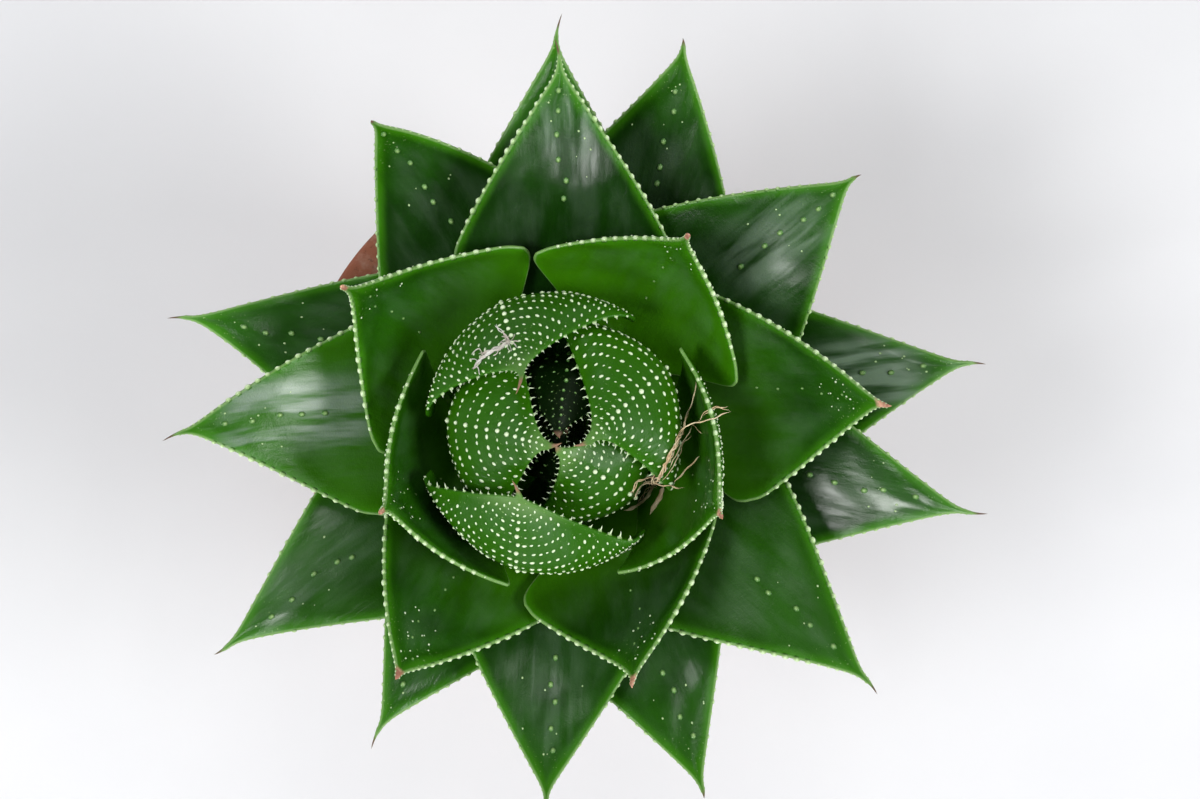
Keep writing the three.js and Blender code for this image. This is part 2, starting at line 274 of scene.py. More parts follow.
def turned(profile, sides, centre=(0, 0)):
    """Points and faces of a turned solid whose profile starts and ends on its axis."""
    angles = np.arange(sides) * 2 * math.pi / sides
    points = [(centre[0], centre[1], profile[0][1])]
    for radius, height in profile[1:-1]:
        across, along = radius * np.cos(angles) + centre[0], radius * np.sin(angles) + centre[1]
        points += [(x, y, height) for x, y in zip(across, along)]
    points.append((centre[0], centre[1], profile[-1][1]))
    return points, ring_faces(len(points), sides)


collar = POT_HEIGHT - COLLAR_HEIGHT
collar_radius = RIM_RADIUS - COLLAR_TAPER


def collar_wall(z):
    return between(collar_radius, RIM_RADIUS, (z - collar) / (COLLAR_HEIGHT - EDGE_ROUND))


clay, at = new_finish("clay")
rings = at.stretched(0.02, 0.02, 1)
height_up = at.axis(2)
body = at.grain(16, 5, 0.6).rise(0.3, 0.75)
streaks = rings.grain(2.2, 3).rise(0.45, 0.7)
speckle = at.grain(0.9, 2, 0.7).rise(0.6, 0.72)
damp = (1 - height_up.rise(6, 30)) * at.grain(14, 4).rise(0.3, 0.6)
haze = at.stretched(1, 1, 0.6).grain(11, 6, 0.68).rise(0.48, 0.78)
lime = haze * (height_up.rise(58, 78) + 0.4 * (1 - height_up.rise(3, 22)))
colour = body.between(CLAY_RED, CLAY_PALE)
colour = (0.35 * streaks).between(colour, CLAY_PALE)
colour = (0.55 * damp).between(colour, CLAY_DAMP)
colour = (0.7 * lime).between(colour, LIME)
colour = (0.5 * speckle).between(colour, CLAY_DAMP)
finished(
    at,
    at.grain(0.7, 3, 0.6) + 1.3 * rings.grain(0.8, 2) + 0.8 * lime - 0.6 * speckle,
    0.14,
    Base_Color=colour,
    Roughness=0.84 + 0.1 * lime - 0.12 * damp,
    Specular_IOR_Level=0.3,
)

pot_profile = [(0, 0), (FOOT_RADIUS * 0.5, 0)]
pot_profile += arc(FOOT_RADIUS - EDGE_ROUND, EDGE_ROUND, EDGE_ROUND, -90, -5)
pot_profile += wall(outer_radius, 2 * EDGE_ROUND, collar - 0.6)
pot_profile += arc(collar_radius - EDGE_ROUND, collar + EDGE_ROUND / 2, EDGE_ROUND / 2, -90, 0, 4)
pot_profile += wall(collar_wall, collar + EDGE_ROUND, POT_HEIGHT - 2 * EDGE_ROUND)
pot_profile += arc(RIM_RADIUS - EDGE_ROUND, POT_HEIGHT - EDGE_ROUND, EDGE_ROUND, 0, 90)
pot_profile += arc(MOUTH_RADIUS + EDGE_ROUND, POT_HEIGHT - EDGE_ROUND, EDGE_ROUND, 90, 175)
pot_profile += wall(inner_radius, POT_HEIGHT - 2.5 * EDGE_ROUND, FLOOR + FLOOR_FILLET)
pot_profile += arc(inner_radius(FLOOR) - FLOOR_FILLET, FLOOR + FLOOR_FILLET, FLOOR_FILLET, 0, -90)
pot_profile += [(FOOT_RADIUS * 0.4, FLOOR), (0, FLOOR)]
pot = mesh_piece("pot_clay", *turned(pot_profile, POT_SIDES), [clay])

drill_at = [2 * math.pi * i / DRAIN_COUNT + math.pi / 6 for i in range(DRAIN_COUNT)]
drill_points, drill_faces = [], []
for angle in drill_at:
    hole = [(0, -1), (DRAIN_RADIUS, -1), (DRAIN_RADIUS, FLOOR + 1), (0, FLOOR + 1)]
    centre = (DRAIN_CIRCLE * math.cos(angle), DRAIN_CIRCLE * math.sin(angle))
    hole_points, hole_faces = turned(hole, 40, centre)
    drill_faces += [tuple(corner + len(drill_points) for corner in face) for face in hole_faces]
    drill_points += hole_points
drills = mesh_piece("drills", drill_points, drill_faces, [clay])
cut = pot.modifiers.new("drain_holes", "BOOLEAN")
cut.object = drills
cut.solver = "EXACT"
cut_mesh = bpy.data.meshes.new_from_object(pot.evaluated_get(bpy.context.evaluated_depsgraph_get()))
pot.modifiers.clear()
pot.data = cut_mesh
bpy.data.objects.remove(drills)
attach(pot, "root")
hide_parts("pot")

# The soil: a loose dark mix of peat and fine bark that fills the pot to just below the rim,
# with grit and white grains of perlite lying on it, and a round hole for the stem.
SOIL_LEVEL = 77
FIT_GAP = 0.3
CRUMB = 1.1
STEM_HOLE_DEPTH = 18
STEM_HOLE_RADIUS = 8.7
PLANT_X = 2.2
PLANT_Y = -2.7
SOIL_RINGS = 70
SOIL_SIDES = 180
GRAINS = 300
GRAIN_SIZES = (0.45, 1.5)  # half their width, before each is stretched
GRAINS_FROM = 12.5
CLEAR_OF_WALL = 2.2
CLEAR_OF_STEM = 2
PEAT = (0.024, 0.014, 0.009, 1)
BARK = (0.095, 0.05, 0.026, 1)
GRAIN_TONES = ((0.7, 0.68, 0.62), (0.1, 0.05, 0.025), (0.22, 0.17, 0.12), (0.05, 0.032, 0.022))
dice = np.random.default_rng(11)

soil_mix, at = new_finish("soil_mix")
crumbs = at.grain(1.4, 5, 0.65)
chips = at.grain(3.2, 3, 0.5, 1.2).rise(0.55, 0.63)
finished(
    at,
    crumbs + 0.6 * at.grain(0.5, 3),
    0.8,
    Base_Color=(0.8 * chips).between(PEAT, BARK),
    Roughness=0.95 - 0.12 * chips,
    Specular_IOR_Level=0.2,
)

grit, at = new_finish("grit")
tone = at.node("Attribute", {"attribute_name": "tone"}, {}, 0)
finished(
    at,
    at.grain(0.5, 3),
    0.15,
    Base_Color=(0.5 * at.grain(0.6, 3).rise(0.4, 0.7)).between(tone, BARK),
    Roughness=0.8 + 0.1 * at.grain(0.4, 1),
)


def soil_height(x, y):
    """The top of the soil: low mounds, which fade at the wall of the pot, and crumbs on them."""
    level = 1 - min(math.hypot(x, y) / inner_radius(SOIL_LEVEL), 1) ** 6
    mound = math.sin(x * 0.31 + 1.7 * math.cos(y * 0.23)) * math.cos(y * 0.27 + 0.6)
    crumb = noise.fractal(Vector((x, y, 3)) * 0.55, 0.9, 2.1, 4)
    return SOIL_LEVEL + level * (CRUMB * mound + 0.55 * crumb)


soil_edge = inner_radius(SOIL_LEVEL) - FIT_GAP
hole_bottom = SOIL_LEVEL - STEM_HOLE_DEPTH
soil_bottom = FLOOR + FIT_GAP
turn = np.arange(SOIL_SIDES) * 2 * math.pi / SOIL_SIDES
rows = [(STEM_HOLE_RADIUS, 1, hole_bottom)]
rows += [(between(STEM_HOLE_RADIUS, soil_edge, t), 1 - t, None) for t in np.linspace(0, 1, SOIL_RINGS)]
rows += [(inner_radius(z) - FIT_GAP, 0, z) for z in np.linspace(SOIL_LEVEL - 2, soil_bottom, 12)]
soil_points = [(PLANT_X, PLANT_Y, hole_bottom)]
for radius, shift, height in rows:
    for a in turn:
        x = radius * math.cos(a) + shift * PLANT_X
        y = radius * math.sin(a) + shift * PLANT_Y
        soil_points.append((x, y, soil_height(x, y) if height is None else height))
soil_points.append((0, 0, soil_bottom))
soil_faces = ring_faces(len(soil_points), SOIL_SIDES, inside_out=True)
soil = mesh_piece("soil_bed", soil_points, soil_faces, [soil_mix])
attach(soil, "root")
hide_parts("soil")


def lump(middle, size):
    """A rough grain: a ball of few faces, pushed in and out, and flattened."""
    bands, around = 5, 8
    points = [(0, 0, -1)]
    for row in range(1, bands):
        tilt = math.pi * row / bands
        points += [
            (math.sin(tilt) * math.cos(a), math.sin(tilt) * math.sin(a), -math.cos(tilt))
            for a in np.arange(around) * 2 * math.pi / around
        ]
    points.append((0, 0, 1))
    points = np.array(points) * (1 + dice.normal(0, 0.13, (len(points), 1)))
    points *= dice.uniform(0.6, 1.25, 3) * size
    spin = dice.uniform(0, 2 * math.pi)
    turned_x = points[:, 0] * math.cos(spin) - points[:, 1] * math.sin(spin)
    turned_y = points[:, 0] * math.sin(spin) + points[:, 1] * math.cos(spin)
    rough_ball = np.stack([turned_x, turned_y, points[:, 2]], 1)
    return rough_ball + middle, ring_faces(len(points), around)


def joined(parts):
    """Joins (points, faces) bodies into one list of each."""
    points, faces, start = [], [], 0
    for part_points, part_faces in parts:
        points.append(part_points)
        faces += [tuple(corner + start for corner in face) for face in part_faces]
        start += len(part_points)
    return np.concatenate(points), faces


grains, grain_tones = [], []
for _ in range(GRAINS):
    size = dice.uniform(*GRAIN_SIZES)
    angle = dice.uniform(0, 2 * math.pi)
    radius = math.sqrt(dice.uniform(GRAINS_FROM**2, (soil_edge - CLEAR_OF_WALL) ** 2))
    x, y = radius * math.cos(angle), radius * math.sin(angle)
    if math.hypot(x - PLANT_X, y - PLANT_Y) < STEM_HOLE_RADIUS + CLEAR_OF_STEM:
        continue
    grain_points, grain_faces = lump((x, y, soil_height(x, y) + 0.15 * size), size)
    grains.append((grain_points, grain_faces))
    shade = GRAIN_TONES[dice.choice(4, p=(0.22, 0.3, 0.2, 0.28))]
    grain_tones += [(*shade, 1)] * len(grain_points)
soil_grit = mesh_piece("soil_grit", *joined(grains), [grit])
tones = soil_grit.data.color_attributes.new("tone", "FLOAT_COLOR", "POINT")
tones.data.foreach_set("color", np.array(grain_tones).ravel())
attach(soil_grit, "root")

# The stem: short and fleshy, pale green and ringed with the brown scars of leaves long gone.
# It stands in its hole in the soil and carries every leaf.
PLANT_BASE = 83
STEM_FOOT_RADIUS = 8.4
STEM_TOP_RADIUS = 3.4
STEM_TOP = 25.5
SCAR_DEPTH = 0.3
STEM_GREEN = (0.24, 0.3, 0.1, 1)
STEM_BROWN = (0.17, 0.09, 0.04, 1)
STEM_HUSK = (0.42, 0.28, 0.16, 1)


def smooth(t):
    s = np.clip(t, 0, 1)
    return s * s * (3 - 2 * s)


def stem_radius(height):
    return between(STEM_FOOT_RADIUS, STEM_TOP_RADIUS, smooth(height / STEM_TOP))


stem_skin, at = new_finish("stem_skin")
scars = at.stretched(0.15, 0.15, 1).grain(1.3, 3).rise(0.45, 0.6)
husk = at.stretched(1, 1, 0.25).grain(1.1, 4, 0.65).rise(0.48, 0.64)
dry = 1 - at.axis(2).rise(PLANT_BASE - 4, PLANT_BASE + 6)
colour = (0.75 * scars).between(STEM_GREEN, STEM_BROWN)
colour = (0.85 * dry).between(colour, STEM_BROWN)
finished(
    at,
    scars + 0.8 * husk + 0.4 * at.grain(0.6, 3),
    0.35,
    Base_Color=(0.7 * husk * dry).between(colour, STEM_HUSK),
    Roughness=0.6 + 0.25 * scars,
)
stem_bottom = hole_bottom + FIT_GAP
buried = np.linspace(stem_bottom, PLANT_BASE - 0.5, 24)
above = np.linspace(0, STEM_TOP, 60)
stem_end = PLANT_BASE + STEM_TOP
stem_profile = [(0, stem_bottom)]
stem_profile += [(STEM_FOOT_RADIUS - SCAR_DEPTH * (1 + math.sin(z * 2.6)) / 2, z) for z in buried]
for h in above:
    stem_profile.append((stem_radius(h) - SCAR_DEPTH * (1 + math.sin(h * 4.1)) / 2, PLANT_BASE + h))
stem_profile += [(STEM_TOP_RADIUS * 0.6, stem_end + 0.4), (0, stem_end + 0.6)]
stem = mesh_piece("stem_skin", *turned(stem_profile, 72, (PLANT_X, PLANT_Y)), [stem_skin])
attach(stem, "root")
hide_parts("stem")

# The leaves: thick, water-filled blades with a waxy skin, set on the stem in one spiral, each
# a golden angle on from the last. The oldest spread low over the rim, the next stand up round
# the heart and the youngest close over it. Each ends in a soft dry bristle.
GOLDEN_ANGLE = 137.508
FIRST_LEAF_AT = 105.3
LOWEST_FOOT = 3
HIGHEST_FOOT = 24
FIRST_UPRIGHT = 13
FIRST_BUD = 21
LEAVES = (  # turn, reach, rise, lean, half width, taper, swing, bristle; oldest first
    (-9, 77, 21, 35, 22, 1.2, -7, 4.5),
    (-7, 70, 21, 20, 19.5, 1.2, 3, 3.5),
    (-8, 78.5, 24, 25, 21, 1.2, -4.5, 3),
    (-3, 75.5, 24, 24, 20.5, 1.2, 12.5, 3),
    (-3, 72, 29.4, 37, 20, 1.2, -2, 1.5),
    (-6.5, 72.5, 37, 53, 22.5, 1.2, 8.5, 1.5),
    (-3, 75.5, 31, 28, 20, 1.2, 7.5, 2.5),
    (1.5, 78, 32, 23, 19.5, 1.2, -1.5, 3.5),
    (-9.5, 64, 41.4, 74, 22, 1.2, 7, 1),
    (3, 67.5, 37.3, 50, 21, 1.2, 1.5, 1.5),
    (3.5, 68, 47, 54, 23, 1.2, -3.5, 2),
    (-5.5, 69, 46, 57, 20.5, 1.2, 10.5, 4),
    (8.5, 71, 47, 40, 20.5, 1.2, -4.5, 3),
    (-1.5, 67, 52, 50, 21.5, 1.2, -1, 5),
    (-1, 51, 52, 66, 20.5, 1.1, 6, 1),
    (8.5, 55, 53, 60, 22, 1.2, -12, 1.5),
    (-1, 45, 55, 79, 25, 1.9, 2, 1),
    (14.5, 44.4, 53, 68, 21.5, 1.4, -10, 1.5),
    (-3, 39.6, 56, 80, 24, 1.9, 0, 1),
    (2, 34, 56, 79, 26, 1.9, 2.5, 1),
    (9, 30, 56, 75, 25, 1.5, -7, 1),
    (2, 9, 54, 134, 25.5, 1, 2.7, 5),
    (4, 10.4, 53, 142, 25, 0.6, -4.8, 3.5),
    (5.5, 0, 51.5, 138, 22.5, 1.5, -4.5, 3.5),
    (8, 0, 50.5, 144, 22, 1.2, 3.3, 3),
    (15, 0.5, 47.5, 142, 19, 1.2, -3.4, 1.5),
    (5, -1.5, 46, 150, 12.5, 1.1, 1, 1),
    (10, -1, 43, 150, 10, 1.1, 0, 1),
)
LAST = len(LEAVES) - 1
BLADE_RINGS = 104
FACE_COLUMNS = 26
FOOT_SHARE = 0.6
FOOT_DROP = 1.6
NECK = 0.12
SIDE_BOW = 1.2
FOOT_THICKNESS = 0.28
FLATTER_SHARE = 0.25
MARGIN_ROUND = 0.28
BRISTLE_HALF = 0.45
BUD_BRISTLE_HALF = 0.85
BRISTLE_POINT = 0.06
BRISTLE_HOOK = 0.16
BUD_HOOK = 0.4
DRAWN_OUT = 0.2
DRAWN_LENGTH = 4.5
CORNER_CUT = 0.045
CORNER_LENGTH = 2.6
CLASP = 0.22
TIGHTEST_WRAP = 12
SQUARING = 0.3
UNEVEN = 0.22
CRUST = 1.5
TONE_STEP = 23
PAINTED_LEAF_LIGHTING = {  # by leaf number: above nought painted light, a paler green than the others, below it painted shade, a deeper one
    6: -0.7, 7: 0.3, 8: -0.4, 9: -0.9, 12: 0.8, 13: 0.3,
    14: -0.4, 15: -0.3, 16: -0.4, 18: -1.2, 19: 0.9, 21: 0.5,
}
PAINTED_SHEEN = {  # by leaf number: the strength of the sheen painted on it as a pale streaky patch, and its reach in mm from the tip
    3: (1.2, 30), 7: (0.15, 36), 10: (0.15, 34),
    11: (0.5, 34), 12: (1.3, 40), 14: (0.6, 22),
}
LEAF_DEEP = (0.005, 0.034, 0.001, 1)
LEAF_GREEN = (0.018, 0.115, 0.001, 1)
LEAF_BACK = (0.024, 0.12, 0.001, 1)
# Near-black green: painted shade for the leaves deep in the heart
HEART_SHADE = (0.002, 0.01, 0.0005, 1)
LEAF_LOW = (0.045, 0.2, 0.001, 1)
LEAF_NECK = (0.26, 0.42, 0.15, 1)
LEAF_RIM = (0.045, 0.22, 0.002, 1)
# Pale grey-green: partly the wax bloom and partly painted sheen
LEAF_WAX_AND_SHEEN = (0.2, 0.29, 0.2, 1)
RIM_LINE = (0.4, 0.58, 0.24, 1)
DRY_TIP = (0.76, 0.42, 0.29, 1)
DRY_ROSE = (0.42, 0.18, 0.12, 1)
DRY_AWN = (0.13, 0.07, 0.045, 1)
BUD_AWN = (0.3, 0.17, 0.11, 1)


class Leaf:
    """One leaf's own form. place() takes shares of its length and of its half width."""

    def __init__(self, index, turn, reach, rise, lean, half, taper, swing, bristle):
        self.index, self.half, self.taper, self.swing = index, half, taper, swing
        self.number = f"leaf_{index + 1:02d}"
        self.in_bud = index >= FIRST_BUD
        foot_height = between(LOWEST_FOOT, HIGHEST_FOOT, index / LAST)
        clearance = between(FIT_GAP, 2 * FIT_GAP, index / LAST)
        self.foot_radius = stem_radius(foot_height - FOOT_DROP) + clearance
        foot = np.array([self.foot_radius, foot_height])
        tip = np.array([reach, rise])
        rising = (index - FIRST_UPRIGHT) / (FIRST_BUD - 1 - FIRST_UPRIGHT)
        chord = np.linalg.norm(tip - foot)
        start = between(6, 12, index / 9) - between(0, 4, rising)
        out, back = chord * between(0.42, 0.6, rising), chord * 0.42
        self.widest, self.wrap, self.level = between(0.36, 0.46, rising), 1, -1
        self.thick = between(5.2, 3.2, rising)
        if self.in_bud:
            depth = index - FIRST_BUD
            start = between(16, 42, depth / 6)
            out, back = between(30, 9, (depth - 3) / 3), between(22, 14, (depth - 3) / 3)
            self.widest, self.wrap, self.level = 0.55, between(1, 1.25, depth / 4), 0.52
            self.thick = 2.2
        start, end = math.radians(start), math.radians(lean)
        handle_out = foot + out * np.array([math.cos(start), math.sin(start)])
        handle_back = tip - back * np.array([math.cos(end), math.sin(end)])
        t = np.linspace(0, 1, 401)[:, None]
        self.rib = (1 - t) ** 3 * foot + 3 * (1 - t) ** 2 * t * handle_out
        self.rib += 3 * (1 - t) * t**2 * handle_back + t**3 * tip
        steps = np.linalg.norm(np.diff(self.rib, axis=0), axis=1)
        travelled = np.concatenate([[0], np.cumsum(steps)])
        self.length = travelled[-1]
        self.shares = travelled / self.length
        self.blade_end = 1 - bristle / self.length
        self.hook = bristle * (BUD_HOOK if self.in_bud else BRISTLE_HOOK) * (1 if index % 2 else -1)
        self.green_tip = -CRUST if FIRST_UPRIGHT < index < FIRST_BUD else 0.5 * bristle
        self.turn = math.radians(FIRST_LEAF_AT + GOLDEN_ANGLE * index + turn)

    def rib_at(self, v):
        return np.stack([np.interp(v, self.shares, self.rib[:, k]) for k in (0, 1)], -1)

    def past_blade(self, v):
        return np.clip((v - self.blade_end) / (1 - self.blade_end), 0, 1)

    def half_width(self, v):
        """A clasping foot, then the widest part, then long sides that draw in to the bristle."""
        foot = self.foot_radius * FOOT_SHARE
        widening = between(foot, self.half, smooth((v - NECK) / (self.widest - NECK)))
        q = np.clip((v - self.widest) / (self.blade_end - self.widest), 0, 1)
        drawn = 1 - DRAWN_OUT * np.exp(-(((self.blade_end - v) * self.length / DRAWN_LENGTH) ** 2))
        narrowing = self.half * (1 - q**SIDE_BOW) ** self.taper * drawn
        thickest = BUD_BRISTLE_HALF if self.in_bud else BRISTLE_HALF
        bristle = between(thickest, BRISTLE_POINT, self.past_blade(v) ** 0.55)
        corner = 1 - CORNER_CUT * np.exp(-(((v - self.widest) * self.length / CORNER_LENGTH) ** 2))
        return np.hypot(corner * np.where(v < self.widest, widening, narrowing), bristle)

    def share_and_half(self, back):
        """The share of the length that lies so far back from the tip, and the half width there."""
        v = self.blade_end - back / self.length
        return v, float(self.half_width(np.array(v)))

    def lift(self, v, across, upper):
        """How far each face stands off the plane of the margins."""
        half = self.half_width(v)
        swelling = between(FOOT_THICKNESS, 1, smooth((v - NECK) / 0.4))
        fullness = swelling * (1 - 0.85 * smooth((v - 0.5) / 0.5))
        inset = np.clip((1 - np.abs(across)) * half, 0, None)
        edge = np.minimum(MARGIN_ROUND, half)
        rim = edge * np.sqrt(1 - (1 - np.clip(inset / edge, 0, 1)) ** 2)
        body = self.thick * fullness * smooth(half / 3)
        phase = self.index * 1.7
        uneven = UNEVEN * np.sin(v * 31 + phase + 2 * across) * np.cos(across * 4.3 + phase + 6 * v)
        ease = smooth(inset / 2.5) * smooth((v - 0.12) / 0.2) * (0.35 if self.in_bud else 1)
        if upper:
            return rim + body * FLATTER_SHARE * (1 - across**2) + uneven * ease
        keel = (1 - np.clip(np.abs(across), 0, 1) ** 1.15) ** 0.85
        return -rim - body * (1 - FLATTER_SHARE) * keel + 0.5 * uneven * ease

    def place(self, v, across, lift):
        """Points of the leaf in the row frame, in millimetres."""
        v, across, lift = np.broadcast_arrays(np.asarray(v, float), across, lift)
        at = self.rib_at(v)
        step = 0.002
        along = self.rib_at(np.minimum(v + step, 1)) - self.rib_at(np.maximum(v - step, 0))
        along /= np.linalg.norm(along, axis=-1, keepdims=True)
        half = self.half_width(v)
        rolled = self.wrap * np.maximum(along[..., 1], 0) / np.maximum(at[..., 0], 1)
        curve = np.clip(rolled, 1e-6, 1 / TIGHTEST_WRAP)
        angle = across * half * curve
        inwards = (1 - np.cos(angle)) / curve
        tilted = smooth((v - self.level) / SQUARING)
        up = lift * np.cos(angle)
        side = np.sin(angle) / curve - lift * np.sin(angle)
        hug = np.maximum(1 - v / CLASP, 0) ** 2
        rounding = np.sqrt(np.maximum(at[..., 0] ** 2 - side**2, 0)) - at[..., 0]
        x = at[..., 0] - along[..., 1] * (inwards + up) + hug * rounding
        y = side + self.swing * v * v + self.hook * self.past_blade(v) ** 1.7
        z = at[..., 1] + along[..., 0] * (tilted * inwards + up)
        cos, sin = math.cos(self.turn), math.sin(self.turn)
        return np.stack([x * cos - y * sin + PLANT_X, x * sin + y * cos + PLANT_Y, z + PLANT_BASE], -1)

    def skin(self, v, across, upper):
        """Places on one face, with the directions to the tip, across, and out of the leaf."""
        v, across = np.asarray(v, float), np.asarray(across, float)
        step = 0.004
        here = self.place(v, across, self.lift(v, across, upper))
        ahead = self.place(v + step, across, self.lift(v + step, across, upper))
        beside = self.place(v, across - step, self.lift(v, across - step, upper))
        tipward = unit(ahead - here)
        outward = unit(np.cross(beside - here, ahead - here)) * (1 if upper else -1)
        return here, tipward, unit(np.cross(outward, tipward)), outward


def unit(vectors):
    return vectors / np.maximum(np.linalg.norm(vectors, axis=-1, keepdims=True), 1e-12)


def blade(leaf):
    """The closed body of a leaf, with what its skin's colour follows at each point."""
    fractions = (1 - np.cos(np.linspace(0, math.pi, FACE_COLUMNS + 1))) / 2
    ring_at = np.linspace(0, 1, BLADE_RINGS) ** 0.92
    across = 1 - 2 * fractions
    v = ring_at[:-1, None]
    upper = leaf.place(v, across[None, :], leaf.lift(v, across[None, :], True))
    lower = leaf.place(v, across[None, -2:0:-1], leaf.lift(v, across[None, -2:0:-1], False))
    rings = np.concatenate([upper, lower], 1)
    size = rings.shape[1]
    points = np.concatenate([rings.reshape(-1, 3), leaf.place([1.0], 0, 0)])
    ring = np.arange(BLADE_RINGS - 2)[:, None] * size
    a = ring + np.arange(size)
    b = ring + (np.arange(size) + 1) % size
    faces = np.stack([a, b, b + size, a + size], -1).reshape(-1, 4).tolist()
    tip = len(points) - 1
    faces += [(tip - size + i, tip - size + (i + 1) % size, tip) for i in range(size)]
    faces += [(k + 1, k, (size - k) % size, size - k - 1) for k in range(1, FACE_COLUMNS - 1)]
    faces += [(1, 0, size - 1), (FACE_COLUMNS - 1, FACE_COLUMNS + 1, FACE_COLUMNS)]
    shares = np.concatenate([across, across[-2:0:-1]])[None, :]
    half = leaf.half_width(v)
    inset = (1 - np.abs(shares)) * half
    to_tip = (leaf.blade_end - v) * leaf.length + leaf.green_tip + 0 * shares
    is_upper = np.concatenate([np.ones(FACE_COLUMNS + 1), np.zeros(size - FACE_COLUMNS - 1)])
    edge = np.stack([inset, to_tip, is_upper[None, :] + 0 * inset], -1).reshape(-1, 3)
    tone = leaf.index * TONE_STEP
    spread = np.stack([shares * half, v * leaf.length + 0 * shares, tone + 0 * inset], -1)
    edge = np.concatenate([edge, [[0, -99, 1]]])
    spread = np.concatenate([spread.reshape(-1, 3), [[0, leaf.length, tone]]])
    return points, faces, edge, spread


def from_leaf(tone, index):
    """0 on the leaves before that one, 1 on it and on all younger leaves."""
    return tone.rise((index - 0.8) * TONE_STEP, (index - 0.2) * TONE_STEP)


def leaf_finish(name, gloss, coat):
    """The waxy skin: deep green above, brighter and paler at the margin, the neck and the foot."""
    material, at = new_finish(name)
    edge_of = at.node("Attribute", {"attribute_name": "edge"}, {}, 1)
    spread_of = at.node("Attribute", {"attribute_name": "spread"}, {}, 1)
    inset, to_tip, is_upper = edge_of.axis(0), edge_of.axis(1), edge_of.axis(2)
    from_foot, tone = spread_of.axis(1), spread_of.axis(2)
    upright = from_leaf(tone, FIRST_UPRIGHT + 1)
    bud = from_leaf(tone, FIRST_BUD)
    heart = from_leaf(tone, LAST - 1)
    # Each leaf's painted light and shade (a paler green above nought, a deeper one below), and the
    # strength and reach of its painted sheen
    painted_light_of = at.node("Attribute", {"attribute_name": "painted_light"}, {}, 1)
    painted_lighting, sheen_painted, reach = painted_light_of.axis(0), painted_light_of.axis(1), painted_light_of.axis(2)
    cloud = spread_of.stretched(1, 0.6, 1).grain(11, 3).rise(0.3, 0.7)
    streak = spread_of.stretched(1, 0.12, 1).grain(2.6, 3, 0.5)
    mottle = spread_of.grain(1.7, 4, 0.6)
    pores = spread_of.grain(0.34, 2, 0.6)
    rim = (1 - (inset + 1.1 * streak).rise(0.5, 3.0)) * from_foot.rise(10, 24)
    near_tip = 1 - to_tip.rise(3, 24)
    # Darker towards the foot, partly the leaf's own deeper base and partly painted shade. The outer
    # leaves get more painted shade low on the blade, where the leaves above would shade them, and each
    # leaf's listed painted light and shade is added
    shade = (0.6 * cloud + 0.3 * streak) * from_foot.rise(8, 40)
    shade = shade * (1 - 0.7 * to_tip.rise(16, 34) * (1 - upright)) + 0.5 * painted_lighting
    upper_green = shade.between(LEAF_DEEP, LEAF_GREEN)
    # Leaves with painted light are also mixed towards the pale low green
    upper_green = (0.6 * painted_lighting.rise(0, 1)).between(upper_green, LEAF_LOW)
    upper_green = (0.7 * near_tip).between(upper_green, LEAF_GREEN)
    upper_green = (0.6 * upright * to_tip.rise(16, 36)).between(upper_green, LEAF_LOW)
    back_green = (0.5 * mottle).between(LEAF_BACK, LEAF_GREEN)
    back_green = (0.6 * to_tip.rise(14, 34)).between(back_green, LEAF_LOW)
    # Painted shade: the two youngest leaves, deep in the heart, are a near-black green
    back_green = heart.between(back_green, HEART_SHADE)
    neck = (1 - to_tip.rise(1.5, 7)) * (1 - 0.5 * bud) * (1 - heart)
    back_green = (0.8 * neck).between(back_green, LEAF_NECK)
    green = is_upper.between(back_green, upper_green)
    green = (0.85 * rim * (1 - 0.75 * bud) * (1 - heart)).between(green, LEAF_RIM)
    # Pale waxy patches, partly a real wax bloom and partly painted sheen, on the middle of the upper
    # faces and near the tip of the backs
    wax_and_sheen = spread_of.stretched(1, 0.3, 1).grain(4.5, 4, 0.55).rise(0.35, 0.7) * inset.rise(2.4, 5.5)
    wax_and_sheen = wax_and_sheen * from_foot.rise(16, 34) * (is_upper + (1 - to_tip.rise(4, 18)) * (1 - heart))
    # Painted sheen: a pale streaky patch along the middle of the listed leaves, where a lamp's reflection
    # would lie
    off_middle = spread_of.axis(0).maths("ABSOLUTE", spread_of.axis(0))
    sheen_painted = sheen_painted * (1 - off_middle.rise(2, 9)) * streak.rise(0.34, 0.6)
    sheen_painted = sheen_painted * to_tip.rise(8, 16) * (1 - (to_tip - reach).rise(-5, 5))
    green = (0.1 * wax_and_sheen + sheen_painted).between(green, LEAF_WAX_AND_SHEEN)
    fleck = spread_of.grain(0.5, 1).rise(0.68, 0.74) * (1 - to_tip.rise(5, 18))
    green = (0.5 * fleck).between(green, RIM_LINE)
    line = (1 - inset.rise(0.1, 0.6)) * to_tip.rise(-0.6, 0.6) * (1 - bud)
    green = (0.4 * line).between(green, RIM_LINE)
    dry = 1 - (to_tip + 0.9 * mottle).rise(0, 1.6)
    shine = (1 - dry) * (1 - to_tip.rise(24, 38))
    crust = upright.between(DRY_AWN, mottle.rise(0.4, 0.6).between(DRY_TIP, DRY_ROSE))
    crust = bud.between(crust, BUD_AWN)
    finished(
        at,
        0.3 * mottle + 0.15 * pores + 0.8 * streak + 0.5 * cloud,
        0.3,
        Base_Color=dry.between(green, crust),
        Roughness=0.28 + 0.1 * wax_and_sheen + 0.08 * mottle + 0.3 * dry,
        Specular_IOR_Level=gloss,
        Coat_Weight=coat * streak.rise(0.4, 0.62) * is_upper * inset.rise(1.5, 4) * shine,
        Coat_Roughness=0.2,
        Subsurface_Weight=0.12,
        Subsurface_Radius=(0.6, 1.0, 0.15),
        Subsurface_Scale=0.0012,
    )
    return material


